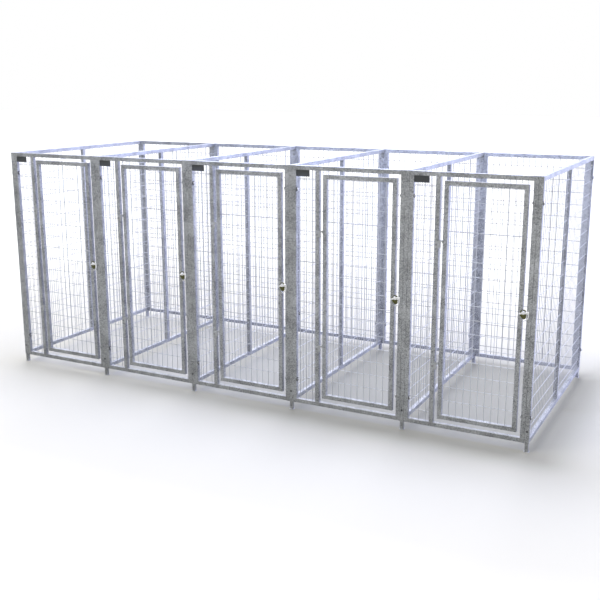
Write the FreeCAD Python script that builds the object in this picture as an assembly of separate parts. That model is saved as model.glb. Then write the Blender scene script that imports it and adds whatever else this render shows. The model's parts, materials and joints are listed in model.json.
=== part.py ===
"""Five-run kennel of bolted, welded-mesh panels, each run with its own hinged door and gravity latch.

Millimetres, +Z up. The origin is on the floor under the middle of the square frame; +X runs along
the front from the first run to the last, and the doors face -Y.
"""
import FreeCAD, Part
import math
import os

# runs and overall frame
runs = 5
run_pitch = 914.4
frame_height = 1828.8
frame_depth = 1828.8

# square tube of every frame
tube = 31.75
tube_wall = 1.65
tube_corner = 3.0

# how pieces meet
weld_gap = 0.1          # left between welded pieces, filled by the weld bead
panel_gap = 0.3         # between panels bolted side by side
running_gap = 0.3       # along an axis, between a turning piece and its neighbour
bearing_clearance = 0.05  # radial, between a pin and what turns on it

# welded mesh
wire = 4.1
mesh_pitch_across = 50.8
mesh_pitch_up = 101.6
mesh_edge_clear = 10.0

# front panel and door
side_light = 158.75
door_side_gap = 28.575
door_sill_gap = 35.5
door_head_gap = 26.5

# door hinges: a fixed strap and lower knuckle with its pin, and a lift-off upper knuckle on the door
hinge_from_bottom = 462.0
hinge_from_top = 492.8
knuckle_diameter = 16.0
knuckle_length = 26.0
knuckle_forward = 3.0
pin_diameter = 8.0
pin_stand = 4.0
pin_seat = 0.02
strap_thickness = 3.0
strap_reach = 27.0
strap_corner = 9.0
strap_step = 1.0        # left between the strap and the turning knuckle beside it
arm_thickness = 5.0
arm_height = 9.0
arm_clear = 2.0         # above the strap, where the arm swings past
pad_thickness = 3.0
pad_reach = 18.0
pad_height = 20.0       # down from the top of the knuckle, clear of the strap's bolt head
hinge_bolt_diameter = 8.0
hinge_bolt_head_diameter = 16.0
hinge_bolt_head_height = 4.0

# gravity latch
latch_height = 920.0
latch_overhang = 7.5    # from the door's closing edge out to the latch pivot
latch_base = 5.0
latch_base_radius = 21.0
latch_base_foot = (3.0, 30.0, 16.0)   # centre right of and below the pivot, and radius
latch_base_wing = (-22.0, 8.0, 10.0)
latch_plate = 6.0
latch_hub_diameter = 27.0
latch_pivot_diameter = 8.0
latch_rivet_diameter = 12.0
latch_rivet_height = 2.5
latch_head_diameter = 22.0
latch_head_height = 7.0
arm_rise = 12.0
arm_drop = 8.0
hook_lip = 7.0
hook_centre_drop = 20.0
hook_sweep = 95.0
tail_length = 30.0
tail_width = 10.0
tail_root_width = 16.0
tail_droop = 20.0
stud_diameter = 6.0
stud_inset = 7.0
stud_tip = 1.5
stud_collar_diameter = 8.0
stud_collar = 2.0
hook_clearance = 1.2

# bolts that join the panels, along X
bolt_from_bottom = 184.0
bolt_from_top = 174.8
bolt_diameter = 10.0
bolt_hole_clearance = 0.5
bolt_head_across = 17.0
bolt_head_height = 6.4
bolt_end = 2.0
washer_diameter = 31.0
washer_thickness = 2.0
nut_height = 8.0

# legs that telescope in the side panels' posts
leg_drop = 66.0
leg_tube = 25.4
leg_wall = 1.6
leg_corner = 2.0
leg_overlap = 120.0
leg_hole_diameter = 9.0
leg_hole_pitch = 40.0
leg_hole_count = 4
leg_bolt_height = 84.8
leg_bolt_diameter = 8.0
leg_bolt_head_diameter = 13.0
leg_bolt_head_height = 4.0
leg_nut_across = 13.0
leg_nut_height = 6.5
foot_size = 36.0
foot_thickness = 4.0
foot_corner = 6.0

# spare holes near the tops of the posts, for tying the kennel to a wall or to a roof panel
tie_hole_from_top = 76.2
tie_hole_diameter = 11.0

# blank plate at the head of each side light
plate_width = 111.0
plate_height = 47.0
plate_thickness = 1.5
plate_corner = 3.0

X, Y, Z = FreeCAD.Vector(1, 0, 0), FreeCAD.Vector(0, 1, 0), FreeCAD.Vector(0, 0, 1)

# places that follow from the sizes above
floor_to_frame = leg_drop
frame_top = floor_to_frame + frame_height
front = -frame_depth / 2
back = frame_depth / 2
left_end = -(runs * run_pitch + tube) / 2
panel_width = run_pitch - tube - 2 * panel_gap
door_width = panel_width - 3 * tube - side_light - 2 * door_side_gap
door_bottom = floor_to_frame + tube + door_sill_gap
door_top = frame_top - tube - door_head_gap
front_line = front + tube / 2
back_line = back - tube / 2
hinge_places = (floor_to_frame + hinge_from_bottom, frame_top - hinge_from_top)
bolt_places = (floor_to_frame + bolt_from_bottom, frame_top - bolt_from_top)


def divider_left(index):
    """X of the left face of a side or divider panel, counted from 0."""
    return left_end + index * run_pitch


def panel_left(run):
    """X of the left edge of a run's front and back panels."""
    return divider_left(run) + tube + panel_gap


def square_bar(start, direction, length, size, corner):
    """Square bar with rounded edges, from the centre of one end along a direction."""
    across = Y if direction.isEqual(X, 1e-9) else X
    up = direction.cross(across)
    half = size / 2
    flat = half - corner
    bulge = flat + corner * math.sqrt(0.5)
    edges = []
    for cosine, sine in ((1, 0), (0, 1), (-1, 0), (0, -1)):
        def place(u, v):
            return start + across * (u * cosine - v * sine) + up * (u * sine + v * cosine)
        edges.append(Part.LineSegment(place(half, -flat), place(half, flat)).toShape())
        edges.append(Part.Arc(place(half, flat), place(bulge, bulge), place(flat, half)).toShape())
    return Part.Face(Part.Wire(edges)).extrude(direction * length)


def square_tube(start, direction, length, closed_end=False, size=tube, wall=tube_wall,
                corner=tube_corner):
    """Hollow square tube, open at its start, and open or capped at its far end."""
    overshoot = 1.0
    inner_length = length - wall if closed_end else length + overshoot
    outer = square_bar(start, direction, length, size, corner)
    inner = square_bar(start - direction * overshoot, direction, inner_length + overshoot,
                       size - 2 * wall, corner - wall)
    return outer.cut(inner)


def rod(start, direction, length, diameter):
    return Part.makeCylinder(diameter / 2, length, start, direction)


def drill(solid, centre, direction, reach, diameter):
    """Cut a round hole through a solid, reaching both ways from a centre."""
    return solid.cut(rod(centre - direction * reach, direction, 2 * reach, diameter))


def hexagon(start, direction, height, across_flats, bore=0.0):
    """Hexagonal prism with two flats level, and a bore if asked."""
    side = Y if direction.isEqual(X, 1e-9) else X
    up = direction.cross(side)
    radius = across_flats / math.sqrt(3)
    corners = [start + side * (radius * math.cos(math.radians(60 * k)))
               + up * (radius * math.sin(math.radians(60 * k))) for k in range(7)]
    prism = Part.Face(Part.makePolygon(corners)).extrude(direction * height)
    if bore:
        prism = drill(prism, start, direction, 2 * height, bore)
    return prism


def tangent_outline(base, circles, thickness):
    """Plate along Y with straight edges that touch round corners, each (right of, below, radius)."""
    corners = list(zip(circles, circles[1:] + circles[:1]))
    normals = []
    for (x, drop, radius), (next_x, next_drop, next_radius) in corners:
        heading = math.atan2(next_drop - drop, next_x - x)
        distance = math.hypot(next_x - x, next_drop - drop)
        normals.append(heading - math.acos((radius - next_radius) / distance))

    def place(circle, angle):
        x, drop, radius = circle
        return base + X * (x + radius * math.cos(angle)) - Z * (drop + radius * math.sin(angle))

    edges = []
    for (start, end), normal, following in zip(corners, normals, normals[1:] + normals[:1]):
        turn = (following - normal) % (2 * math.pi)
        edges.append(Part.LineSegment(place(start, normal), place(end, normal)).toShape())
        edges.append(Part.Arc(place(end, normal), place(end, normal + turn / 2),
                              place(end, normal + turn)).toShape())
    return Part.Face(Part.Wire(edges)).extrude(Y * thickness)


def soften(solid, radius, pick):
    """Round the edges of a solid that pick accepts."""
    edges = [edge for edge in solid.Edges if pick(edge)]
    return solid.makeFillet(radius, edges)


def save(node, solids):
    """Write one node's solids to its STEP file."""
    shape = solids[0] if len(solids) == 1 else Part.makeCompound(solids)
    shape.exportStep(f"parts/{node}.step")


def steps_from_middle(low, high, pitch):
    """Places at a pitch, counted out from the middle, that stay clear of both ends."""
    middle = (low + high) / 2
    count = int(((high - low) / 2 - mesh_edge_clear) // pitch)
    return [middle + step * pitch for step in range(-count, count + 1)]


def welded_mesh(across, depth, low, high, bottom, top):
    """Upright and level wires that fill an opening, the upright ones nearer the lower depth."""
    through = Y if across.isEqual(X, 1e-9) else X
    layer = (wire + weld_gap) / 2
    wires = []
    for place in steps_from_middle(low, high, mesh_pitch_across):
        start = across * place + through * (depth - layer) + Z * (bottom + weld_gap)
        wires.append(rod(start, Z, top - bottom - 2 * weld_gap, wire))
    for place in steps_from_middle(bottom, top, mesh_pitch_up):
        start = across * (low + weld_gap) + through * (depth + layer) + Z * place
        wires.append(rod(start, across, high - low - 2 * weld_gap, wire))
    return wires


def frame_tubes(across, depth, low, high, bottom, top, uprights=()):
    """Rectangular frame: two full-height stiles capped at the top, two rails and inner uprights."""
    through = Y if across.isEqual(X, 1e-9) else X
    half = tube / 2

    def at(place, height):
        return across * place + through * depth + Z * height

    stiles = [square_tube(at(place, bottom), Z, top - bottom, closed_end=True)
              for place in (low + half, high - half)]
    rail_length = high - low - 2 * tube - 2 * weld_gap
    rails = [square_tube(at(low + tube + weld_gap, height), across, rail_length)
             for height in (bottom + half, top - half)]
    inner_bottom = bottom + tube + weld_gap
    posts = [square_tube(at(place, inner_bottom), Z, top - tube - weld_gap - inner_bottom)
             for place in uprights]
    return stiles, rails, posts


def bolt_holes(stile, place, depth):
    """Drill a stile for the bolts that run along X through the joined posts."""
    for z in bolt_places:
        centre = FreeCAD.Vector(place, depth, z)
        stile = drill(stile, centre, X, tube, bolt_diameter + 2 * bolt_hole_clearance)
    return stile


def mullion_right(run):
    """X of the hinge edge of a run's mullion."""
    return panel_left(run) + 2 * tube + side_light


def strap_ends(middle):
    """Bottom and top of a hinge strap; the top stays under the arm that swings past."""
    bottom = middle - running_gap / 2 - knuckle_length
    return bottom, middle + running_gap / 2 + knuckle_length - arm_height - arm_clear


def strap_centre(middle):
    return sum(strap_ends(middle)) / 2


def front_panel(run):
    """Fixed front frame of a run, its side-light mesh and its blank plate."""
    left = panel_left(run)
    mullion = mullion_right(run) - tube / 2
    stiles, rails, posts = frame_tubes(X, front_line, left, left + panel_width,
                                       floor_to_frame, frame_top, uprights=(mullion,))
    for middle in hinge_places:
        centre = FreeCAD.Vector(mullion, front_line, strap_centre(middle))
        posts = [drill(post, centre, Y, tube, hinge_bolt_diameter + 2 * bolt_hole_clearance)
                 for post in posts]
    stiles = [bolt_holes(stile, place, front_line)
              for stile, place in zip(stiles, (left + tube / 2, left + panel_width - tube / 2))]
    light = welded_mesh(X, front_line, left + tube, left + tube + side_light,
                        floor_to_frame + tube, frame_top - tube)
    plate = Part.makeBox(plate_width, plate_thickness, plate_height,
                         FreeCAD.Vector(left + tube + weld_gap, front + tube_corner + weld_gap,
                                        frame_top - tube - weld_gap - plate_height))
    plate = soften(plate, plate_corner,
                   lambda edge: edge.Length < plate_thickness + weld_gap)
    return stiles + rails + posts, light, plate


def back_panel(run):
    """Fixed back frame of a run and its mesh."""
    left = panel_left(run)
    right = left + panel_width
    stiles, rails, _ = frame_tubes(X, back_line, left, right, floor_to_frame, frame_top)
    stiles = [bolt_holes(stile, place, back_line)
              for stile, place in zip(stiles, (left + tube / 2, right - tube / 2))]
    mesh = welded_mesh(X, back_line, left + tube, right - tube,
                       floor_to_frame + tube, frame_top - tube)
    return stiles + rails, mesh


def side_panel(index):
    """Side or divider panel: frame with a middle upright, and mesh in both halves."""
    line = divider_left(index) + tube / 2
    stiles, rails, posts = frame_tubes(Y, line, front, back, floor_to_frame, frame_top,
                                       uprights=(0.0,))
    drilled = []
    for stile, depth in zip(stiles, (front_line, back_line)):
        stile = bolt_holes(stile, line, depth)
        tie = FreeCAD.Vector(line, depth, frame_top - tie_hole_from_top)
        stile = drill(stile, tie, Y, tube, tie_hole_diameter)
        lock = FreeCAD.Vector(line, depth, floor_to_frame + leg_bolt_height)
        drilled.append(drill(stile, lock, Y, tube, leg_hole_diameter))
    mesh = []
    for low, high in ((front + tube, -tube / 2), (tube / 2, back - tube)):
        mesh += welded_mesh(Y, line, low, high, floor_to_frame + tube, frame_top - tube)
    return drilled + rails + posts, mesh


def door_left(run):
    """X of the left edge of a run's door."""
    return mullion_right(run) + door_side_gap


def hinge_axis(run):
    """X and Y of the line that a run's door turns about."""
    return mullion_right(run) + weld_gap + knuckle_diameter / 2, front - knuckle_forward


def door_panel(run):
    """Door frame and its mesh."""
    left = door_left(run)
    right = left + door_width
    stiles, rails, _ = frame_tubes(X, front_line, left, right, door_bottom, door_top)
    mesh = welded_mesh(X, front_line, left + tube, right - tube, door_bottom + tube, door_top - tube)
    return stiles + rails, mesh


def fixed_leaf(run, middle):
    """Lower knuckle with its strap on the mullion, and the pin that stands in it."""
    x, y = hinge_axis(run)
    edge_x = mullion_right(run)
    bottom, top = strap_ends(middle)
    strap_back = front - weld_gap
    barrel = rod(FreeCAD.Vector(x, y, bottom), Z, knuckle_length, knuckle_diameter)
    strap = Part.makeBox(strap_reach - strap_step, strap_thickness, top - bottom,
                         FreeCAD.Vector(edge_x - strap_reach, strap_back - strap_thickness, bottom))
    strap = soften(strap, strap_corner,
                   lambda edge: edge.BoundBox.XMax < edge_x - strap_reach + 1e-3
                   and edge.BoundBox.ZLength < 1e-3)
    neck = Part.makeBox(x - edge_x + 2 * strap_step, strap_thickness, knuckle_length,
                        FreeCAD.Vector(edge_x - 2 * strap_step, strap_back - strap_thickness, bottom))
    leaf = drill(barrel.fuse([strap, neck]), FreeCAD.Vector(x, y, bottom), Z, 2 * knuckle_length,
                 pin_diameter + 2 * pin_seat)
    leaf = drill(leaf, FreeCAD.Vector(edge_x - tube / 2, front, strap_centre(middle)), Y, tube,
                 hinge_bolt_diameter + 2 * bolt_hole_clearance)
    pin_length = 2 * knuckle_length + running_gap + pin_stand
    pin = rod(FreeCAD.Vector(x, y, bottom), Z, pin_length, pin_diameter)
    pin = soften(pin, pin_diameter / 4, lambda edge: edge.BoundBox.ZMin > bottom + pin_length - 1e-3)
    return leaf.removeSplitter(), pin


def strap_bolt(run, middle):
    """Round-headed bolt that holds a hinge strap through the mullion, and its nut."""
    head_back = FreeCAD.Vector(mullion_right(run) - tube / 2,
                               front - 2 * weld_gap - strap_thickness, strap_centre(middle))
    nut_face = FreeCAD.Vector(head_back.x, front + tube + weld_gap, head_back.z)
    rim = head_back.y - hinge_bolt_head_height
    head = rod(head_back, -Y, hinge_bolt_head_height, hinge_bolt_head_diameter)
    head = soften(head, 0.7 * hinge_bolt_head_height, lambda edge: edge.BoundBox.YMax < rim + 1e-3)
    shank = rod(head_back, Y, nut_face.y + leg_nut_height + bolt_end - head_back.y,
                hinge_bolt_diameter)
    nut = hexagon(nut_face, Y, leg_nut_height, leg_nut_across,
                  bore=hinge_bolt_diameter + 2 * pin_seat)
    return head.fuse(shank).removeSplitter(), nut


def door_leaf(run, middle):
    """Upper knuckle with the arm and pad that are welded to the door's stile."""
    x, y = hinge_axis(run)
    bottom = middle + running_gap / 2
    stile = door_left(run) - weld_gap
    barrel = rod(FreeCAD.Vector(x, y, bottom), Z, knuckle_length, knuckle_diameter)
    arm = Part.makeBox(stile - x, arm_thickness, arm_height,
                       FreeCAD.Vector(x, y - arm_thickness / 2, bottom + knuckle_length - arm_height))
    pad = Part.makeBox(pad_thickness, knuckle_forward + pad_reach, pad_height,
                       FreeCAD.Vector(stile - pad_thickness, y, bottom + knuckle_length - pad_height))
    leaf = barrel.fuse([arm, pad])
    leaf = drill(leaf, FreeCAD.Vector(x, y, bottom), Z, 2 * knuckle_length,
                 pin_diameter + 2 * bearing_clearance)
    return leaf.removeSplitter()


def latch_pivot_place(run):
    """Centre of the latch pivot, out past the closing edge of the door, on its front face."""
    return FreeCAD.Vector(door_left(run) + door_width + latch_overhang, front,
                          floor_to_frame + latch_height)


def stud_place(run):
    """Centre of the keeper stud on the front face of the closing post, just under the lever's arm."""
    pivot = latch_pivot_place(run)
    post_left = panel_left(run) + panel_width - tube
    drop = arm_drop + hook_clearance + stud_diameter / 2
    return FreeCAD.Vector(post_left + stud_inset, front, pivot.z - drop)


def latch_fixed(run):
    """Base plate on the door's stile, and the headed pin that the lever turns on."""
    pivot = latch_pivot_place(run)
    base_back = pivot.y - weld_gap
    corner = FreeCAD.Vector(pivot.x, base_back - latch_base, pivot.z)
    base = tangent_outline(corner, [(0.0, 0.0, latch_base_radius), latch_base_foot, latch_base_wing],
                           latch_base)
    base = drill(base, pivot, Y, 2 * latch_base, latch_pivot_diameter + 2 * pin_seat)
    head_back = corner.y - 2 * running_gap - latch_plate
    shank = rod(FreeCAD.Vector(pivot.x, head_back, pivot.z), Y, base_back + weld_gap - head_back,
                latch_pivot_diameter)
    rivet = rod(FreeCAD.Vector(pivot.x, base_back + weld_gap, pivot.z), Y, latch_rivet_height,
                latch_rivet_diameter)
    head = rod(FreeCAD.Vector(pivot.x, head_back - latch_head_height, pivot.z), Y,
               latch_head_height, latch_head_diameter)
    head = soften(head, 0.8 * latch_head_height,
                  lambda edge: edge.BoundBox.YMax < head_back - latch_head_height + 1e-3)
    return base, head.fuse([shank, rivet]).removeSplitter()


def latch_lever(run):
    """Lever with a round hub, a drooping finger tail, and a hook that hangs round the stud."""
    pivot = latch_pivot_place(run)
    stud = stud_place(run)
    base = FreeCAD.Vector(pivot.x, pivot.y - weld_gap - latch_base - running_gap - latch_plate, pivot.z)
    inner = stud.x - pivot.x + stud_diameter / 2 + hook_clearance
    outer = inner + hook_lip

    def place(x, drop):
        return base + X * x - Z * drop

    def around(radius, angle):
        turn = math.radians(angle)
        return place(radius * math.cos(turn), hook_centre_drop + radius * math.sin(turn))

    # out along the arm, down its outer edge, round under the stud and back up the inner edge
    corners = [place(0, -arm_drop), place(outer, -arm_rise), place(outer, hook_centre_drop)]
    inside = [place(inner, hook_centre_drop), place(inner, arm_drop), place(0, arm_drop), corners[0]]
    edges = [Part.LineSegment(*pair).toShape() for pair in zip(corners, corners[1:])]
    edges.append(Part.Arc(corners[-1], around(outer, hook_sweep / 2), around(outer, hook_sweep)).toShape())
    edges.append(Part.LineSegment(around(outer, hook_sweep), around(inner, hook_sweep)).toShape())
    edges.append(Part.Arc(around(inner, hook_sweep), around(inner, hook_sweep / 2), inside[0]).toShape())
    edges += [Part.LineSegment(*pair).toShape() for pair in zip(inside, inside[1:])]
    hook = Part.Face(Part.Wire(edges)).extrude(Y * latch_plate)
    hook = soften(hook, hook_lip / 2.5, lambda edge: edge.BoundBox.YLength > latch_plate - 1e-3
                  and edge.BoundBox.XMin > pivot.x + inner + 1e-3
                  and edge.BoundBox.ZMin > pivot.z)
    droop = math.radians(tail_droop)
    tail_end = (-tail_length * math.cos(droop), tail_length * math.sin(droop), tail_width / 2)
    tail = tangent_outline(base, [(0.0, 0.0, tail_root_width / 2), tail_end], latch_plate)
    hub = rod(base, Y, latch_plate, latch_hub_diameter)
    lever = hub.fuse([hook, tail]).removeSplitter()
    return drill(lever, base, Y, 2 * latch_plate, latch_pivot_diameter + 2 * bearing_clearance)


def keeper_stud(run):
    """Stud on the closing post that the hook hangs round, with its collar."""
    place = stud_place(run)
    length = latch_base + running_gap + latch_plate + stud_tip
    tip = place.y - weld_gap - length
    stud = rod(FreeCAD.Vector(place.x, tip, place.z), Y, length, stud_diameter)
    stud = soften(stud, stud_diameter / 4, lambda edge: edge.BoundBox.YMax < tip + 1e-3)
    collar = rod(place - Y * (weld_gap + stud_collar), Y, stud_collar, stud_collar_diameter)
    return stud.fuse(collar).removeSplitter()


def panel_bolts(index):
    """Bolts, washers and nuts that join a side panel to the runs beside it, front and back."""
    left = divider_left(index)
    start = left if index == 0 else left - panel_gap - tube
    end = left + tube if index == runs else left + 2 * tube + panel_gap
    bolts, washers, nuts = [], [], []
    hole = bolt_diameter + 2 * bolt_hole_clearance
    for depth in (front_line, back_line):
        for z in bolt_places:
            head_face = start - weld_gap - washer_thickness - weld_gap
            nut_face = end + weld_gap + washer_thickness + weld_gap
            tip = nut_face + nut_height + bolt_end
            head = hexagon(FreeCAD.Vector(head_face - bolt_head_height, depth, z), X,
                           bolt_head_height, bolt_head_across)
            shank = rod(FreeCAD.Vector(head_face, depth, z), X, tip - head_face, bolt_diameter)
            bolts.append(head.fuse(shank).removeSplitter())
            for face in (start - weld_gap - washer_thickness, end + weld_gap):
                centre = FreeCAD.Vector(face, depth, z)
                washers.append(drill(rod(centre, X, washer_thickness, washer_diameter), centre, X,
                                     2 * washer_thickness, hole))
            nuts.append(hexagon(FreeCAD.Vector(nut_face, depth, z), X, nut_height,
                                bolt_head_across, bore=bolt_diameter + 2 * pin_seat))
    return bolts, washers, nuts


def legs_of(index):
    """Front and back legs of a side panel, with foot plates and the bolts that lock them."""
    line = divider_left(index) + tube / 2
    legs, feet, bolts, nuts = [], [], [], []
    for depth, outward in ((front_line, -1), (back_line, 1)):
        foot = square_bar(FreeCAD.Vector(line, depth, 0), Z, foot_thickness, foot_size, foot_corner)
        feet.append(foot)
        bottom = foot_thickness + weld_gap
        leg = square_tube(FreeCAD.Vector(line, depth, bottom), Z,
                          floor_to_frame + leg_overlap - bottom,
                          size=leg_tube, wall=leg_wall, corner=leg_corner)
        lock = floor_to_frame + leg_bolt_height
        for step in range(leg_hole_count):
            centre = FreeCAD.Vector(line, depth, lock - step * leg_hole_pitch)
            leg = drill(leg, centre, Y, tube, leg_hole_diameter)
        legs.append(leg)
        out = Y * outward
        face = FreeCAD.Vector(line, depth, lock) + out * (tube / 2 + weld_gap)
        inside = FreeCAD.Vector(line, depth, lock) - out * (tube / 2 + weld_gap)
        head = rod(face, out, leg_bolt_head_height, leg_bolt_head_diameter)
        rim = face + out * leg_bolt_head_height
        head = soften(head, leg_bolt_head_height / 2,
                      lambda edge: abs(edge.BoundBox.Center.y - rim.y) < 1e-3
                      and edge.BoundBox.YLength < 1e-3)
        end = inside - out * (leg_nut_height + bolt_end)
        shank = rod(face, -out, (face - end).Length, leg_bolt_diameter)
        bolts.append(head.fuse(shank).removeSplitter())
        nuts.append(hexagon(inside - out * leg_nut_height, out, leg_nut_height, leg_nut_across,
                            bore=leg_bolt_diameter + 2 * pin_seat))
    return legs, feet, bolts, nuts


os.makedirs("parts", exist_ok=True)

side_lights, plates, back_meshes, brackets, pins, studs = [], [], [], [], [], []
strap_bolts, nuts = [], []
for run in range(runs):
    number = run + 1
    frame, light, plate = front_panel(run)
    save(f"front_frame_{number}", frame)
    side_lights += light
    plates.append(plate)
    frame, mesh = back_panel(run)
    save(f"back_frame_{number}", frame)
    back_meshes += mesh
    frame, mesh = door_panel(run)
    save(f"door_frame_{number}", frame)
    save(f"door_mesh_{number}", mesh)
    for middle in hinge_places:
        leaf, pin = fixed_leaf(run, middle)
        brackets.append(leaf)
        pins.append(pin)
        bolt, nut = strap_bolt(run, middle)
        strap_bolts.append(bolt)
        nuts.append(nut)
    save(f"door_knuckles_{number}", [door_leaf(run, middle) for middle in hinge_places])
    base, pivot_pin = latch_fixed(run)
    save(f"latch_base_{number}", [base])
    save(f"latch_pivot_{number}", [pivot_pin])
    save(f"latch_lever_{number}", [latch_lever(run)])
    studs.append(keeper_stud(run))

side_meshes, bolts, washers, legs, feet, leg_bolts = [], [], [], [], [], []
for index in range(runs + 1):
    frame, mesh = side_panel(index)
    save(f"side_frame_{index + 1}", frame)
    side_meshes += mesh
    more_bolts, more_washers, more_nuts = panel_bolts(index)
    bolts += more_bolts
    washers += more_washers
    nuts += more_nuts
    more_legs, more_feet, more_bolts, more_nuts = legs_of(index)
    legs += more_legs
    feet += more_feet
    leg_bolts += more_bolts
    nuts += more_nuts

save("side_light_meshes", side_lights)
save("back_meshes", back_meshes)
save("side_meshes", side_meshes)
save("blank_plates", plates)
save("hinge_brackets", brackets)
save("hinge_pins", pins)
save("hinge_bolts", strap_bolts)
save("latch_studs", studs)
save("panel_bolts", bolts)
save("washers", washers)
save("nuts", nuts)
save("legs", legs)
save("foot_plates", feet)
save("leg_bolts", leg_bolts)
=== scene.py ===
import bpy
import json
import math
from mathutils import Matrix, Vector

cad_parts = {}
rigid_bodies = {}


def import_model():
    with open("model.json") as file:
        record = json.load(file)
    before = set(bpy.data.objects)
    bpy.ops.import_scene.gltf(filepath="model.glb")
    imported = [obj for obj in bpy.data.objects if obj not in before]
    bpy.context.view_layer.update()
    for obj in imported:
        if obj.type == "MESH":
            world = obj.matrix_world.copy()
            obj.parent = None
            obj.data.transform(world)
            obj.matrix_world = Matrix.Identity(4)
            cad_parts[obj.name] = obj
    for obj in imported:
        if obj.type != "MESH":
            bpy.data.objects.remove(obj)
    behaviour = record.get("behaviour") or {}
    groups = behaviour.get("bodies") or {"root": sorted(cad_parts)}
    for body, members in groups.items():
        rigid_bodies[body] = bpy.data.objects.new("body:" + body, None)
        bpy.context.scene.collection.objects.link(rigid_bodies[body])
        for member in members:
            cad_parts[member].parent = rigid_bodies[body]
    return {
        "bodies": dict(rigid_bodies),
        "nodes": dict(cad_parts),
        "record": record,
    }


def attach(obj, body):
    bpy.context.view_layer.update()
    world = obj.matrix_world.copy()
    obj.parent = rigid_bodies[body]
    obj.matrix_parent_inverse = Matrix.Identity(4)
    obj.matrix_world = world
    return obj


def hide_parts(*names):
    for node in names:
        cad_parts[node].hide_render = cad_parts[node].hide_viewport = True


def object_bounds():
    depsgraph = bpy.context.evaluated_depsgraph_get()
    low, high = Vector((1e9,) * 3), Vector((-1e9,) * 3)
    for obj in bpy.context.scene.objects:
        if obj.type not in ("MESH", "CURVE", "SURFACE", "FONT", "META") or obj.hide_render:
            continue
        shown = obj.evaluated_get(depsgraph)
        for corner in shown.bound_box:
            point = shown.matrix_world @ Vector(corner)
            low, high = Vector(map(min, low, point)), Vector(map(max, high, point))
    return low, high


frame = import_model()
cadLow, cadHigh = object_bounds()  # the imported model's box, before anything is added
nodes = frame["nodes"]
slotOf = {subpart["node"]: subpart["material_slot"] for subpart in frame["record"]["subparts"]}
runCount = len([name for name in frame["bodies"] if name.startswith("door_")])
quarterTurn = math.radians(90)
sameSpot = 0.00001  # corners nearer than this are one corner
print("frame loaded:", len(nodes), "nodes,", runCount, "runs")


# small helpers for working by hand

def dropSelection():
    if bpy.context.object and bpy.context.object.mode != "OBJECT":
        bpy.ops.object.mode_set(mode="OBJECT")
    bpy.ops.object.select_all(action="DESELECT")


def pick(*shapes):
    dropSelection()
    for shape in shapes:
        shape.select_set(True)
    bpy.context.view_layer.objects.active = shapes[0]


def named(name):
    shape = bpy.context.object
    shape.name = name
    shape.data.name = name
    return shape


def settle(shape):
    pick(shape)
    bpy.ops.object.transform_apply(location=True, rotation=True, scale=True)
    return shape


def applyAll(shape):
    pick(shape)
    for modifier in list(shape.modifiers):
        bpy.ops.object.modifier_apply(modifier=modifier.name)
    return shape


def boxOf(shape):
    corners = [vertex.co for vertex in shape.data.vertices]
    low = Vector([min(corner[axis] for corner in corners) for axis in range(3)])
    high = Vector([max(corner[axis] for corner in corners) for axis in range(3)])
    return low, high


def ownCopy(model):
    # a copy with its own mesh
    copy = model.copy()
    copy.data = model.data.copy()
    bpy.context.collection.objects.link(copy)
    return copy


def mergedCopy(node, name):
    # a node's triangles are loose, so a copy is merged before it is worked on
    shape = ownCopy(nodes[node])
    shape.parent = None
    pick(shape)
    named(name)
    bpy.ops.object.mode_set(mode="EDIT")
    bpy.ops.mesh.select_all(action="SELECT")
    bpy.ops.mesh.remove_doubles(threshold=sameSpot)
    bpy.ops.object.mode_set(mode="OBJECT")
    return shape


def solidBoxes(node):
    # the box of each separate solid in a node
    shape = mergedCopy(node, "measure")
    before = set(bpy.data.objects)
    bpy.ops.mesh.separate(type="LOOSE")
    pieces = [shape] + [item for item in bpy.data.objects if item not in before]
    boxes = [boxOf(piece) for piece in pieces]
    dropSelection()
    for piece in pieces:
        bpy.data.objects.remove(piece, do_unlink=True)
    return boxes


def placeCopies(model, placings, name):
    # one joined piece made of copies of a small model
    copies = []
    for placing in placings:
        copy = ownCopy(model)
        copy.data.transform(placing)
        copies.append(copy)
    pick(*copies)
    bpy.ops.object.join()
    return named(name)


def ready(shape, body, material):
    shape.data.materials.clear()
    shape.data.materials.append(material)
    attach(shape, body)
    return shape


# small helpers for shader nodes

def feed(tree, socket, source):
    # a socket takes a plain value, or another node's output as a (node, output) pair
    if isinstance(source, tuple) and isinstance(source[0], bpy.types.Node):
        tree.links.new(source[0].outputs[source[1]], socket)
    else:
        socket.default_value = source


def addNode(tree, kind, feeds, **settings):
    node = tree.nodes.new(kind)
    for key, value in settings.items():
        setattr(node, key, value)
    for own, source in feeds.items():
        feed(tree, node.inputs[own], source)
    return node


def addNoise(tree, source, look):
    return addNode(tree, "ShaderNodeTexNoise", dict(look, Vector=source))


def addMath(tree, operation, first, second, clamp=False):
    sums = addNode(tree, "ShaderNodeMath", {0: first, 1: second}, operation=operation, use_clamp=clamp)
    return sums, "Value"


def vectorMath(tree, operation, *sources, output="Vector"):
    sums = addNode(tree, "ShaderNodeVectorMath", dict(enumerate(sources)), operation=operation)
    return sums, output


def addRange(tree, source, low, high, start, end, ease="LINEAR"):
    # carries what lies between low and high over to between start and end
    limits = {"Value": source, "From Min": low, "From Max": high, "To Min": start, "To Max": end}
    return addNode(tree, "ShaderNodeMapRange", limits, interpolation_type=ease), "Result"


def mixColour(tree, factor, first, second):
    # a Mix node's sockets share their names, so its colours go by number: 6 and 7 in, 2 out
    return addNode(tree, "ShaderNodeMix", {0: factor, 6: first, 7: second}, data_type="RGBA"), 2


def mixLevel(tree, factor, first, second):
    # and its plain numbers by others: 2 and 3 in, 0 out
    return addNode(tree, "ShaderNodeMix", {0: factor, 2: first, 3: second}), 0


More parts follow.
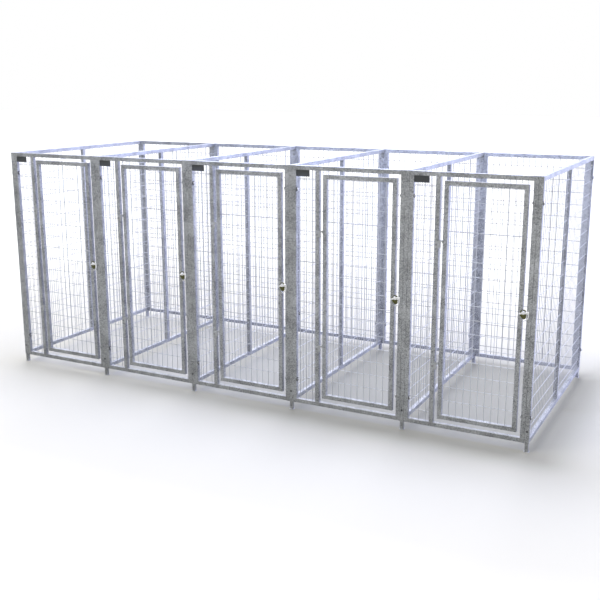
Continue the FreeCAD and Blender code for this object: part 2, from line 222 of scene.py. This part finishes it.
def mixForRay(tree, kind, first, second, output):
    # the second shader is what one kind of ray meets, and the first is for all others
    ray = addNode(tree, "ShaderNodeLightPath", {})
    blend = addNode(tree, "ShaderNodeMixShader", {0: (ray, kind), 1: first, 2: second})
    feed(tree, tree.nodes[output].inputs["Surface"], (blend, 0))


# shader groups

def newGroup(name, inputs, outputs):
    group = bpy.data.node_groups.new(name, "ShaderNodeTree")
    for label, kind, value in inputs:
        socket = group.interface.new_socket(name=label, in_out="INPUT", socket_type=kind)
        if value is not None:
            socket.default_value = value
    for label, kind in outputs:
        group.interface.new_socket(name=label, in_out="OUTPUT", socket_type=kind)
    return group, group.nodes.new("NodeGroupInput"), group.nodes.new("NodeGroupOutput")


spangleForm = {"bend": {"Scale": 60, "Detail": 2}, "bendBy": 0.008,  # the crystals' crooked outlines
               "finer": 2.7, "finerShare": 0.42,  # facets within them
               "cloud": {"Scale": 9, "Detail": 5, "Roughness": 0.6},
               "grain": {"Scale": 420, "Detail": 3}, "deep": 0.0004}


def zincSpangleGroup():
    # crystals of hot-dip zinc, each a little lighter or darker, under a cloudy bloom
    group, start, end = newGroup("zincSpangle", [
        ("Vector", "NodeSocketVector", None),
        ("Crystal Scale", "NodeSocketFloat", 110.0),
        ("Contrast", "NodeSocketFloat", 0.5),
        ("Dark", "NodeSocketColor", (0.2, 0.2, 0.2, 1)),
        ("Light", "NodeSocketColor", (0.6, 0.6, 0.6, 1)),
        ("Smooth", "NodeSocketFloat", 0.35),
        ("Rough", "NodeSocketFloat", 0.6),
    ], [("Color", "NodeSocketColor"), ("Roughness", "NodeSocketFloat"), ("Height", "NodeSocketFloat")])
    vector = (start, "Vector")
    bend = addNoise(group, vector, spangleForm["bend"])
    shift = addNode(group, "ShaderNodeVectorMath", {0: (bend, "Color"), "Scale": spangleForm["bendBy"]},
                    operation="SCALE")
    moved = vectorMath(group, "ADD", vector, (shift, "Vector"))
    crystals = addNode(group, "ShaderNodeTexVoronoi", {"Vector": moved, "Scale": (start, "Crystal Scale")})
    grey = addNode(group, "ShaderNodeSeparateColor", {"Color": (crystals, "Color")})
    finer = addMath(group, "MULTIPLY", (start, "Crystal Scale"), spangleForm["finer"])
    facets = addNode(group, "ShaderNodeTexVoronoi", {"Vector": moved, "Scale": finer},
                     distance="MANHATTAN")
    facetGrey = addNode(group, "ShaderNodeSeparateColor", {"Color": (facets, "Color")})
    broken = mixLevel(group, spangleForm["finerShare"], (grey, "Red"), (facetGrey, "Red"))
    cloud = addNoise(group, vector, spangleForm["cloud"])
    level = addMath(group, "ADD", broken, (cloud, "Fac"))
    centred = addMath(group, "SUBTRACT", level, 1.0)
    spread = addMath(group, "MULTIPLY", centred, (start, "Contrast"))
    mixed = addMath(group, "ADD", spread, 0.5, clamp=True)
    colour = mixColour(group, mixed, (start, "Dark"), (start, "Light"))
    rough = addRange(group, (grey, "Green"), 0.0, 1.0, (start, "Smooth"), (start, "Rough"))
    grain = addNoise(group, vector, spangleForm["grain"])
    height = addMath(group, "ADD", (grain, "Fac"), (grey, "Blue"))
    feed(group, end.inputs["Color"], colour)
    feed(group, end.inputs["Roughness"], rough)
    feed(group, end.inputs["Height"], height)
    return group


splashForm = {"spots": {"Scale": 45, "Detail": 6}, "spotsFrom": 0.42, "spotsTo": 0.68}


def floorSplashGroup():
    # dust and dried splashes that thin out with height above the floor
    group, start, end = newGroup("floorSplash", [
        ("Vector", "NodeSocketVector", None),
        ("Color", "NodeSocketColor", (0.5, 0.5, 0.5, 1)),
        ("Dust", "NodeSocketColor", (0.42, 0.41, 0.39, 1)),
        ("Reach", "NodeSocketFloat", 0.4),
        ("Amount", "NodeSocketFloat", 0.5),
    ], [("Color", "NodeSocketColor")])
    place = addNode(group, "ShaderNodeSeparateXYZ", {"Vector": (start, "Vector")})
    low = addRange(group, (place, "Z"), 0.0, (start, "Reach"), 1.0, 0.0)
    spots = addNoise(group, (start, "Vector"), splashForm["spots"])
    sharp = addRange(group, (spots, "Fac"), splashForm["spotsFrom"], splashForm["spotsTo"], 0.0, 1.0)
    mask = addMath(group, "MULTIPLY", low, sharp)
    amount = addMath(group, "MULTIPLY", mask, (start, "Amount"))
    feed(group, end.inputs["Color"], mixColour(group, amount, (start, "Color"), (start, "Dust")))
    return group


scuffForm = {"scratches": {"Scale": 1, "Detail": 2}, "turned": (0.3, 0.5, 0.8),
             "stretched": (1400, 160, 900), "deep": 0.0001,
             "smears": {"Scale": 120, "Detail": 4}, "smearsFrom": 0.3, "smearsTo": 0.7}


def handlingGroup():
    # fine scuffs from hands and spanners: shifts roughness and puts in shallow scratches
    group, start, end = newGroup("handling", [
        ("Vector", "NodeSocketVector", None),
        ("Smooth", "NodeSocketFloat", 0.15),
        ("Rough", "NodeSocketFloat", 0.4),
    ], [("Roughness", "NodeSocketFloat"), ("Height", "NodeSocketFloat")])
    vector = (start, "Vector")
    stretch = addNode(group, "ShaderNodeMapping", {"Vector": vector, "Rotation": scuffForm["turned"],
                                                   "Scale": scuffForm["stretched"]})
    scratches = addNoise(group, (stretch, "Vector"), scuffForm["scratches"])
    smears = addNoise(group, vector, scuffForm["smears"])
    rough = addRange(group, (smears, "Fac"), scuffForm["smearsFrom"], scuffForm["smearsTo"],
                     (start, "Smooth"), (start, "Rough"))
    feed(group, end.inputs["Roughness"], rough)
    feed(group, end.inputs["Height"], (scratches, "Fac"))
    return group


zincSpangle = zincSpangleGroup()
floorSplash = floorSplashGroup()
handling = handlingGroup()


# materials

def newMaterial(name, metallic):
    material = bpy.data.materials.new(name)
    material.use_nodes = True
    tree = material.node_tree
    shader = tree.nodes["Principled BSDF"]
    shader.inputs["Metallic"].default_value = metallic
    place = (addNode(tree, "ShaderNodeTexCoord", {}), "Object")
    return material, tree, shader, place


def placeGroup(tree, group, place, **values):
    node = tree.nodes.new("ShaderNodeGroup")
    node.node_tree = group
    feed(tree, node.inputs["Vector"], place)
    for label, value in values.items():
        feed(tree, node.inputs[label.replace("_", " ")], value)
    return node


def addBump(tree, shader, source, strength, deep):
    bump = addNode(tree, "ShaderNodeBump", {"Height": source, "Strength": strength, "Distance": deep})
    feed(tree, shader.inputs["Normal"], (bump, "Normal"))


def zincMaterial(name, look):
    material, tree, shader, place = newMaterial(name, look["metallic"])
    spangle = placeGroup(tree, zincSpangle, place, Crystal_Scale=look["crystals"],
                         Contrast=look["contrast"], Dark=look["dark"], Light=look["light"],
                         Smooth=look["smooth"], Rough=look["rough"])
    splash = placeGroup(tree, floorSplash, place, Reach=look["splashReach"],
                        Amount=look["splash"], Color=(spangle, "Color"))
    feed(tree, shader.inputs["Base Color"], (splash, "Color"))
    feed(tree, shader.inputs["Roughness"], (spangle, "Roughness"))
    addBump(tree, shader, (spangle, "Height"), look["bump"], spangleForm["deep"])
    return material


tubeZinc = {"metallic": 0.6, "crystals": 200.0, "contrast": 1.4, "dark": (0.168, 0.175, 0.18, 1),
            "light": (0.56, 0.57, 0.59, 1), "smooth": 0.34, "rough": 0.55, "bump": 0.15,
            "splash": 0.35, "splashReach": 0.30}
wireZinc = {"metallic": 0.45, "crystals": 300.0, "contrast": 0.4, "dark": (0.45, 0.455, 0.46, 1),
            "light": (0.61, 0.615, 0.62, 1), "smooth": 0.35, "rough": 0.5, "bump": 0.12,
            "splash": 0.3, "splashReach": 0.30}
fittingZinc = {"metallic": 0.6, "crystals": 260.0, "contrast": 0.6, "dark": (0.34, 0.345, 0.355, 1),
               "light": (0.58, 0.59, 0.60, 1), "smooth": 0.3, "rough": 0.5, "bump": 0.25,
               "splash": 0.4, "splashReach": 0.1}
weldZinc = {"metallic": 0.8, "crystals": 520.0, "contrast": 0.6, "dark": (0.24, 0.24, 0.245, 1),
            "light": (0.45, 0.45, 0.455, 1), "smooth": 0.4, "rough": 0.65, "bump": 0.5,
            "splash": 0.3, "splashReach": 0.3}
galvanisedTube = zincMaterial("galvanisedTube", tubeZinc)
galvanisedWire = zincMaterial("galvanisedWire", wireZinc)
galvanisedFitting = zincMaterial("galvanisedFitting", fittingZinc)
weldMetal = zincMaterial("weldMetal", weldZinc)
meshWeldMetal = zincMaterial("meshWeldMetal", dict(wireZinc, crystals=600.0, bump=0.3))

tintDetail = 4


def handledMetal(name, look):
    material, tree, shader, place = newMaterial(name, look["metallic"])
    tint = addNoise(tree, place, {"Scale": look["tintScale"], "Detail": tintDetail})
    feed(tree, shader.inputs["Base Color"], mixColour(tree, (tint, "Fac"), look["dark"], look["light"]))
    scuffs = placeGroup(tree, handling, place, Smooth=look["smooth"], Rough=look["rough"])
    feed(tree, shader.inputs["Roughness"], (scuffs, "Roughness"))
    addBump(tree, shader, (scuffs, "Height"), look["bump"], scuffForm["deep"])
    return material


brightZinc = handledMetal("brightZinc", {
    "metallic": 1.0, "tintScale": 90.0, "dark": (0.50, 0.50, 0.51, 1), "light": (0.80, 0.80, 0.78, 1),
    "smooth": 0.2, "rough": 0.42, "bump": 0.15})
dullZinc = handledMetal("dullZinc", {
    "metallic": 0.9, "tintScale": 120.0, "dark": (0.22, 0.22, 0.225, 1), "light": (0.40, 0.40, 0.40, 1),
    "smooth": 0.3, "rough": 0.55, "bump": 0.2})
latchSteel = handledMetal("latchSteel", {
    "metallic": 0.6, "tintScale": 60.0, "dark": (0.82, 0.82, 0.83, 1), "light": (0.98, 0.98, 0.98, 1),
    "smooth": 0.1, "rough": 0.28, "bump": 0.12})
latchOlive = handledMetal("latchOlive", {
    "metallic": 0.7, "tintScale": 90.0, "dark": (0.045, 0.045, 0.02, 1),
    "light": (0.17, 0.165, 0.055, 1), "smooth": 0.25, "rough": 0.5, "bump": 0.15})
darkSteel = handledMetal("darkSteel", {
    "metallic": 0.6, "tintScale": 150.0, "dark": (0.025, 0.025, 0.028, 1),
    "light": (0.07, 0.07, 0.075, 1), "smooth": 0.35, "rough": 0.55, "bump": 0.15})
plateEnamel = handledMetal("plateEnamel", {
    "metallic": 0.1, "tintScale": 200.0, "dark": (0.028, 0.032, 0.034, 1),
    "light": (0.06, 0.065, 0.068, 1), "smooth": 0.35, "rough": 0.5, "bump": 0.1})

slotMaterials = {"galvanised_tube": galvanisedTube, "galvanised_wire": galvanisedWire,
                 "galvanised_fitting": galvanisedFitting, "bright_zinc": brightZinc,
                 "latch_steel": latchSteel, "dark_steel": darkSteel, "dark_plate": plateEnamel}
wireShadeShare = {"side_meshes": 0.9, "back_meshes": 0.42}  # painted shade: side and back wires toned darker, each as a share of the doors' wire


def dressNode(node, material):
    for materialSlot in nodes[node].material_slots:
        materialSlot.material = material


for node, slot in slotOf.items():
    dressNode(node, slotMaterials[slot])
# painted shade: the side and back panels get darker copies of the doors' wire material
for node, share in wireShadeShare.items():
    tones = {tone: tuple(share * part for part in wireZinc[tone][:3]) + (1,)
             for tone in ("dark", "light")}
    dressNode(node, zincMaterial(node.split("_")[0] + "Wire", dict(wireZinc, **tones)))
print("materials made and given to the packed nodes")


# weld beads round the ends of the rails and inner uprights

weldBead = {"inset": 0.0016, "radius": 0.0028, "roundness": 1, "cornerRadius": 0.003, "cornerCuts": 3,
            "cuts": 5, "ripple": 0.0005, "rippleSeed": 4, "towardsRail": 0.0012,
            "asTall": 0.001}  # a tube this near to the tallest is a stile, which gets no bead


def beadRing(wide):
    # a rounded square loop swept into a bead, then rippled a little
    dropSelection()
    bpy.ops.mesh.primitive_plane_add(size=wide - 2 * weldBead["inset"])
    ring = named("beadRing")
    bpy.ops.object.mode_set(mode="EDIT")
    bpy.ops.mesh.select_all(action="SELECT")
    bpy.ops.mesh.bevel(offset=weldBead["cornerRadius"], segments=weldBead["cornerCuts"],
                       affect="VERTICES")
    bpy.ops.mesh.delete(type="ONLY_FACE")
    bpy.ops.mesh.select_all(action="DESELECT")
    bpy.ops.object.mode_set(mode="OBJECT")
    for edge in ring.data.edges:
        first, second = [ring.data.vertices[index].co for index in edge.vertices]
        edge.select = (first - second).length > wide / 2
    bpy.ops.object.mode_set(mode="EDIT")
    bpy.ops.mesh.select_mode(type="EDGE")
    bpy.ops.mesh.subdivide(number_cuts=weldBead["cuts"])
    bpy.ops.mesh.select_mode(type="VERT")
    bpy.ops.object.mode_set(mode="OBJECT")
    bpy.ops.object.convert(target="CURVE")
    ring.data.bevel_depth = weldBead["radius"]
    ring.data.bevel_resolution = weldBead["roundness"]
    bpy.ops.object.convert(target="MESH")
    bpy.ops.object.mode_set(mode="EDIT")
    bpy.ops.mesh.select_all(action="SELECT")
    bpy.ops.transform.vertex_random(offset=weldBead["ripple"], seed=weldBead["rippleSeed"])
    bpy.ops.mesh.normals_make_consistent(inside=False)
    bpy.ops.object.mode_set(mode="OBJECT")
    bpy.ops.object.shade_smooth()
    return named("beadRing")


def beadPlaces(node):
    # one place at each end of every tube that stops against a stile or rail
    boxes = solidBoxes(node)
    tall = max(high.z - low.z for low, high in boxes)
    turns = [Matrix.Rotation(quarterTurn, 4, "Y"), Matrix.Rotation(quarterTurn, 4, "X"),
             Matrix.Identity(4)]
    places = []
    for low, high in boxes:
        extent = high - low
        if extent.z > tall - weldBead["asTall"]:
            continue
        along = max(range(3), key=lambda axis: extent[axis])
        for end, inward in ((low[along], 1), (high[along], -1)):
            centre = (low + high) / 2
            centre[along] = end + inward * weldBead["towardsRail"]
            places.append(Matrix.Translation(centre) @ turns[along])
    return places


def weldFrames(ring, nodeNames, name, body):
    welds = placeCopies(ring, [place for node in nodeNames for place in beadPlaces(node)], name)
    for vertex in welds.data.vertices:  # dressed flush with the caps of the posts
        vertex.co.z = min(vertex.co.z, cadHigh[2])
    return ready(welds, body, weldMetal)


tubeWide = min(nodes["door_frame_1"].dimensions.xy)  # a door frame is as deep as its tubes
ringModel = beadRing(tubeWide)
fixedFrames = [name for name in nodes if "_frame_" in name and not name.startswith("door_")]
weldFrames(ringModel, sorted(fixedFrames), "frameWelds", "kennel")
for run in range(1, runCount + 1):
    weldFrames(ringModel, [f"door_frame_{run}"], f"doorWelds_{run}", f"door_{run}")
bpy.data.objects.remove(ringModel, do_unlink=True)
print("weld beads laid")


# resistance welds of the mesh: a squeezed lump at each crossing, a dab at each wire's end

meshWeld = {"lumpWide": 0.0033, "lumpThick": 0.0020, "dabWide": 0.0040, "dabThick": 0.0026,  # half-sizes
            "segments": 6, "rings": 4,
            "levelTall": 0.02,  # a level wire's box is no taller than this
            "samePlane": 0.01,  # an upright nearer than this to a panel's level wires is in the panel
            "sameEnds": 4}  # decimals of a metre by which level wires share their ends


def smallLump(wide, thick):
    # a low lump of a few dozen faces, flat in Y
    dropSelection()
    bpy.ops.mesh.primitive_uv_sphere_add(segments=meshWeld["segments"], ring_count=meshWeld["rings"],
                                         radius=1)
    lump = named("lump")
    lump.scale = (wide, thick, wide)
    settle(lump)
    bpy.ops.object.shade_smooth()
    return lump


def turnedLump(wide, thick, angle, axis):
    lump = smallLump(wide, thick)
    lump.data.transform(Matrix.Rotation(angle, 4, axis))
    return lump


def meshPanels(node):
    # the level wires of one panel share their ends; its uprights stand between those ends
    boxes = solidBoxes(node)
    uprights = [box for box in boxes if box[1].z - box[0].z > meshWeld["levelTall"]]
    panels = {}
    for low, high in boxes:
        if high.z - low.z <= meshWeld["levelTall"]:
            ends = tuple(round(value, meshWeld["sameEnds"]) for value in (low.x, low.y, high.x, high.y))
            panels.setdefault(ends, []).append((low, high))
    found = []
    for levels in panels.values():
        low, high = levels[0]
        across = 0 if high.x - low.x > high.y - low.y else 1
        through = 1 - across
        middle = (low[through] + high[through]) / 2
        own = []
        for first, last in uprights:
            place = (first + last) / 2
            inPlane = abs(place[through] - middle) < meshWeld["samePlane"]
            if low[across] < place[across] < high[across] and inPlane:
                own.append((first, last))
        own.sort(key=lambda box: box[0][across])
        levels.sort(key=lambda box: box[0].z)
        found.append({"across": across, "uprights": own, "levels": levels})
    return found


def rowOf(model, place, steps):
    # copies of a model in a row or grid; steps are (count, offset) pairs
    copy = ownCopy(model)
    pick(copy)
    for count, offset in steps:
        row = copy.modifiers.new("row", "ARRAY")
        row.count = count
        row.use_relative_offset = False
        row.use_constant_offset = True
        row.constant_offset_displace = offset
    applyAll(copy)
    copy.data.transform(Matrix.Translation(place))
    return copy


def panelWelds(panel):
    across, through = panel["across"], 1 - panel["across"]
    uprights, levels = panel["uprights"], panel["levels"]
    centres = [(low + high) / 2 for low, high in uprights]
    heights = [(low + high) / 2 for low, high in levels]
    sideStep, upStep = Vector((0, 0, 0)), Vector((0, 0, 0))
    sideStep[across] = centres[1][across] - centres[0][across]
    upStep.z = heights[1].z - heights[0].z
    turn = quarterTurn * across
    lump = turnedLump(meshWeld["lumpWide"], meshWeld["lumpThick"], turn, "Z")
    foot = turnedLump(meshWeld["dabWide"], meshWeld["dabThick"], quarterTurn, "X")
    side = turnedLump(meshWeld["dabWide"], meshWeld["dabThick"], turn + quarterTurn, "Z")
    crossing = centres[0].copy()
    crossing[through] = (centres[0][through] + heights[0][through]) / 2
    crossing.z = heights[0].z
    welds = [rowOf(lump, crossing, [(len(uprights), sideStep), (len(levels), upStep)])]
    for end in (uprights[0][0].z, uprights[0][1].z):
        start = centres[0].copy()
        start.z = end
        welds.append(rowOf(foot, start, [(len(uprights), sideStep)]))
    for end in (levels[0][0][across], levels[0][1][across]):
        start = heights[0].copy()
        start[across] = end
        welds.append(rowOf(side, start, [(len(levels), upStep)]))
    for model in (lump, foot, side):
        bpy.data.objects.remove(model, do_unlink=True)
    return welds


def weldMesh(node, name, body):
    welds = [piece for panel in meshPanels(node) for piece in panelWelds(panel)]
    pick(*welds)
    bpy.ops.object.join()
    return ready(named(name), body, meshWeldMetal)


weldMesh("side_light_meshes", "sideLightWireWelds", "kennel")
weldMesh("back_meshes", "backWireWelds", "kennel")
weldMesh("side_meshes", "sideWireWelds", "kennel")
for run in range(1, runCount + 1):
    weldMesh(f"door_mesh_{run}", f"doorWireWelds_{run}", f"door_{run}")
print("mesh welds laid")


# fittings: softened copies whose worn edges show brighter metal

wornZinc = handledMetal("wornZinc", {
    "metallic": 1.0, "tintScale": 160.0, "dark": (0.42, 0.42, 0.43, 1), "light": (0.66, 0.66, 0.66, 1),
    "smooth": 0.22, "rough": 0.4, "bump": 0.2})
wornDark = handledMetal("wornDark", {
    "metallic": 0.8, "tintScale": 220.0, "dark": (0.06, 0.06, 0.065, 1), "light": (0.24, 0.24, 0.25, 1),
    "smooth": 0.25, "rough": 0.45, "bump": 0.2})
wornOlive = handledMetal("wornOlive", {
    "metallic": 0.9, "tintScale": 220.0, "dark": (0.24, 0.23, 0.12, 1), "light": (0.50, 0.49, 0.36, 1),
    "smooth": 0.2, "rough": 0.4, "bump": 0.2})
wornLatch = handledMetal("wornLatch", {
    "metallic": 1.0, "tintScale": 140.0, "dark": (0.80, 0.80, 0.81, 1), "light": (0.96, 0.96, 0.96, 1),
    "smooth": 0.06, "rough": 0.2, "bump": 0.1})

fittings = {
    "hinge_brackets": {"name": "hingeBrackets", "metal": galvanisedFitting, "worn": wornZinc, "edge": 0.0007},
    "hinge_pins": {"name": "hingePins", "metal": dullZinc, "worn": wornZinc, "edge": 0.0006},
    "hinge_bolts": {"name": "hingeBolts", "metal": dullZinc, "worn": wornZinc, "edge": 0.0009},
    "panel_bolts": {"name": "panelBolts", "metal": brightZinc, "worn": wornZinc, "edge": 0.0008},
    "nuts": {"name": "hexNuts", "metal": brightZinc, "worn": wornZinc, "edge": 0.0008},
    "washers": {"name": "darkWashers", "metal": darkSteel, "worn": wornDark, "edge": 0.0004},
    "latch_studs": {"name": "keeperStuds", "metal": brightZinc, "worn": wornZinc, "edge": 0.0004},
    "legs": {"name": "slidingLegs", "metal": galvanisedTube, "worn": galvanisedTube, "edge": 0.0005},
    "foot_plates": {"name": "footPlates", "metal": galvanisedFitting, "worn": wornZinc, "edge": 0.0009},
    "leg_bolts": {"name": "legBolts", "metal": darkSteel, "worn": wornDark, "edge": 0.0006},
    "blank_plates": {"name": "blankPlates", "metal": plateEnamel, "worn": wornDark, "edge": 0.0004},
    "door_knuckles": {"name": "doorKnuckles", "metal": galvanisedFitting, "worn": wornZinc, "edge": 0.0006},
    "latch_base": {"name": "latchBase", "metal": latchOlive, "worn": wornOlive, "edge": 0.0007},
    "latch_pivot": {"name": "latchPivot", "metal": latchSteel, "worn": wornLatch, "edge": 0.0006},
    "latch_lever": {"name": "latchLever", "metal": latchSteel, "worn": wornLatch, "edge": 0.0009},
}
softening = {"flat": math.radians(1), "sharp": math.radians(35), "segments": 2}


def softenFitting(node, name, look):
    shape = mergedCopy(node, name)
    bpy.ops.object.mode_set(mode="EDIT")
    bpy.ops.mesh.select_all(action="SELECT")
    bpy.ops.mesh.dissolve_limited(angle_limit=softening["flat"])
    bpy.ops.object.mode_set(mode="OBJECT")
    shape.data.materials.clear()
    shape.data.materials.append(look["metal"])
    shape.data.materials.append(look["worn"])
    edges = shape.modifiers.new("edges", "BEVEL")
    edges.width = look["edge"]
    edges.segments = softening["segments"]
    edges.limit_method = "ANGLE"
    edges.angle_limit = softening["sharp"]
    edges.material = 1  # the worn one
    applyAll(shape)
    bpy.ops.object.shade_smooth_by_angle(angle=softening["sharp"])
    return shape


plateRim = {"wide": 0.0018, "deep": 0.0003, "smoothUnder": math.radians(20),
            "facing": 0.99, "fieldArea": 0.001}  # a bare field is a broad face turned to the front


def rimPlates(plates):
    # the plates' bare fields lie a little below their rims
    dropSelection()
    bpy.context.view_layer.objects.active = plates
    for face in plates.data.polygons:
        face.select = face.normal.y < -plateRim["facing"] and face.area > plateRim["fieldArea"]
    bpy.ops.object.mode_set(mode="EDIT")
    bpy.ops.mesh.select_mode(type="FACE")
    bpy.ops.mesh.inset(thickness=plateRim["wide"])
    bpy.ops.mesh.inset(thickness=plateRim["deep"], depth=-plateRim["deep"])
    bpy.ops.mesh.select_mode(type="VERT")
    bpy.ops.object.mode_set(mode="OBJECT")
    bpy.ops.object.shade_smooth_by_angle(angle=plateRim["smoothUnder"])


for kind, look in fittings.items():
    for node in sorted(name for name in nodes if name == kind or name.startswith(kind + "_")):
        run = node[len(kind):]  # an underscore and a number on a door's piece, nothing on the kennel's
        fitting = softenFitting(node, look["name"] + run, look)
        if kind == "blank_plates":
            rimPlates(fitting)
        body = "kennel"
        if run:
            body = ("latch" if kind == "latch_lever" else "door") + run
        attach(fitting, body)
        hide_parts(node)
print("fittings softened")


# camera, floor and light

camera = {"place": (3.554, -6.715, 2.480), "heading": 27.479, "pitch": -12.974, "roll": -0.106,
          "lens": 53.57, "sensor": 36, "shift": -0.0189}


def addCamera():
    data = bpy.data.cameras.new("camera")
    data.sensor_width = camera["sensor"]
    data.lens = camera["lens"]
    data.shift_y = camera["shift"]
    eye = bpy.data.objects.new("camera", data)
    eye.location = camera["place"]
    turn = (Matrix.Rotation(math.radians(camera["heading"]), 3, "Z")
            @ Matrix.Rotation(math.radians(90 + camera["pitch"]), 3, "X")
            @ Matrix.Rotation(math.radians(camera["roll"]), 3, "Z"))
    eye.rotation_euler = turn.to_euler()
    bpy.context.collection.objects.link(eye)
    bpy.context.scene.camera = eye


floor = {"size": 120.0, "open": (0.66, 0.636, 0.552, 1), "roughness": 0.6, "gloss": 0.1,
         "shade": (0.315, 0.303, 0.250, 1), "reach": 2.7, "shift": (-0.10, 0.08, 0), "falloff": 3.6,
         "edgeReach": 0.3, "edgeRelief": 0.2,  # the shade is deepest under the kennel itself
         "leftRelief": 0.68, "leftReach": 0.6,  # and weakest towards the left
         "farStart": 1.4, "farEnd": 4.5, "farGain": 1.5,
         "mirroredFront": (0.64, 0.65, 0.64, 1), "mirroredBack": (1.0, 1.06, 1.55, 1),
         "mirroredRight": (1.7, 1.8, 2.5, 1), "mirroredShade": 0.4}


def distanceFromKennel(tree, place):
    # how far a spot lies outside the kennel's footprint, moved over a little
    moved = vectorMath(tree, "ADD", place, floor["shift"])
    size = vectorMath(tree, "ABSOLUTE", moved)
    beyond = vectorMath(tree, "SUBTRACT", size, (cadHigh[0], cadHigh[1], 0))
    outside = vectorMath(tree, "MAXIMUM", beyond, (0, 0, 0))
    return vectorMath(tree, "LENGTH", outside, output="Value")


def paintedFloor(tree, distance, soft, across):
    # the pale floor, greyer in the pool of shade and paler again far off
    edge = addRange(tree, distance, 0.0, floor["edgeReach"], 1.0, 1.0 - floor["edgeRelief"], "SMOOTHSTEP")
    pool = addMath(tree, "MULTIPLY", soft, edge)
    relief = addRange(tree, (across, "X"), cadLow[0], floor["leftReach"], 1.0 - floor["leftRelief"], 1.0)
    amount = addMath(tree, "MULTIPLY", pool, relief)
    colour = mixColour(tree, amount, floor["open"], floor["shade"])
    far = addRange(tree, distance, floor["farStart"], floor["farEnd"], 1.0, floor["farGain"])
    paler = addNode(tree, "ShaderNodeVectorMath", {0: colour, "Scale": far}, operation="SCALE")
    return paler, "Vector"


def mirroredFloor(tree, soft, across):
    # what the metal mirrors of the floor: calm in front of the kennel, cooler behind it
    behind = addRange(tree, (across, "Y"), cadLow[1], cadHigh[1], 0.0, 1.0, "SMOOTHSTEP")
    mirrored = mixColour(tree, behind, floor["mirroredFront"], floor["mirroredBack"])
    aside = addRange(tree, (across, "X"), 0.0, 2 * cadHigh[0], 0.0, 1.0, "SMOOTHSTEP")
    rightward = addMath(tree, "MULTIPLY", aside, behind)
    cooler = mixColour(tree, rightward, mirrored, floor["mirroredRight"])
    dimming = addRange(tree, soft, 0.0, 1.0, 1.0, 1.0 - floor["mirroredShade"])
    glow = addNode(tree, "ShaderNodeEmission", {"Color": cooler, "Strength": dimming})
    return glow, "Emission"


def addFloor():
    # pale floor with a soft grey pool of shade under and around the kennel
    bpy.ops.mesh.primitive_plane_add(size=floor["size"], location=(0, 0, cadLow[2]))
    ground = settle(named("floor"))
    material, tree, shader, place = newMaterial("paleFloor", 0.0)
    shader.inputs["Roughness"].default_value = floor["roughness"]
    shader.inputs["Specular IOR Level"].default_value = floor["gloss"]
    distance = distanceFromKennel(tree, place)
    near = addRange(tree, distance, 0.0, floor["reach"], 1.0, 0.0)
    soft = addMath(tree, "POWER", near, floor["falloff"])
    across = addNode(tree, "ShaderNodeSeparateXYZ", {"Vector": place})
    feed(tree, shader.inputs["Base Color"], paintedFloor(tree, distance, soft, across))
    mirrored = mirroredFloor(tree, soft, across)
    mixForRay(tree, "Is Glossy Ray", (shader, "BSDF"), mirrored, "Material Output")
    ground.data.materials.append(material)


lamps = {
    "overRuns": {"place": (0.7, -0.72, 3.1), "aim": (0.5, 1.0, 0.9), "wide": 4.2, "deep": 0.8,
                 "power": 140, "colour": (0.59, 0.67, 1.06)},
    "latchGlint": {"place": (2.5, -5.5, 3.4), "aim": (0.8, -0.9, 1.0), "wide": 1.4, "deep": 0.7,
                   "power": 8, "colour": (1.0, 1.0, 1.0)},
}
suns = {
    "overhead": {"toward": (0.35, 0.45, -1.0), "strength": 0.9, "spread": 25,
                 "colour": (1.0, 0.985, 0.95)},
    "fromBack": {"toward": (0.42, -0.70, -0.57), "strength": 1.4, "spread": 45,
                 "colour": (0.95, 0.96, 1.0)},
    "fromRight": {"toward": (-0.80, -0.40, -0.45), "strength": 2.0, "spread": 60,
                  "colour": (0.80, 0.85, 1.2)},
}
surround = {"seen": (1.0, 1.0, 1.0, 1), "front": (0.47, 0.48, 0.475, 1), "back": (0.95, 1.02, 1.55, 1),
            "backFrom": -0.5, "backTo": 0.9,
            "top": (0.80, 0.82, 0.86, 1), "topFrom": 0.25, "topTo": 0.9}


def hangLight(name, kind, place, aim, power, colour):
    data = bpy.data.lights.new(name, kind)
    data.energy = power
    data.color = colour
    light = bpy.data.objects.new(name, data)
    light.location = place
    light.rotation_euler = (Vector(aim) - Vector(place)).to_track_quat("-Z", "Y").to_euler()
    light.visible_camera = False
    bpy.context.collection.objects.link(light)
    return data


def addLights():
    for name, look in lamps.items():
        data = hangLight(name, "AREA", look["place"], look["aim"], look["power"], look["colour"])
        data.shape = "RECTANGLE"
        data.size = look["wide"]
        data.size_y = look["deep"]
    for name, look in suns.items():
        data = hangLight(name, "SUN", (0, 0, 0), look["toward"], look["strength"], look["colour"])
        data.angle = math.radians(look["spread"])


def addSurround():
    # a white studio whose light is brighter and bluer behind the kennel, calmer in front of it
    world = bpy.data.worlds.new("studio")
    bpy.context.scene.world = world
    world.use_nodes = True
    tree = world.node_tree
    place = addNode(tree, "ShaderNodeTexCoord", {})
    way = addNode(tree, "ShaderNodeSeparateXYZ", {"Vector": (place, "Generated")})
    behind = addRange(tree, (way, "Y"), surround["backFrom"], surround["backTo"], 0.0, 1.0, "SMOOTHSTEP")
    level = mixColour(tree, behind, surround["front"], surround["back"])
    above = addRange(tree, (way, "Z"), surround["topFrom"], surround["topTo"], 0.0, 1.0, "SMOOTHSTEP")
    plain = tree.nodes["Background"]
    feed(tree, plain.inputs["Color"], mixColour(tree, above, level, surround["top"]))
    white = addNode(tree, "ShaderNodeBackground", {"Color": surround["seen"]})
    mixForRay(tree, "Is Camera Ray", (plain, "Background"), (white, "Background"), "World Output")
    bpy.context.scene.view_settings.view_transform = "Standard"


addCamera()
addFloor()
addLights()
addSurround()
print("camera, floor and lights set")
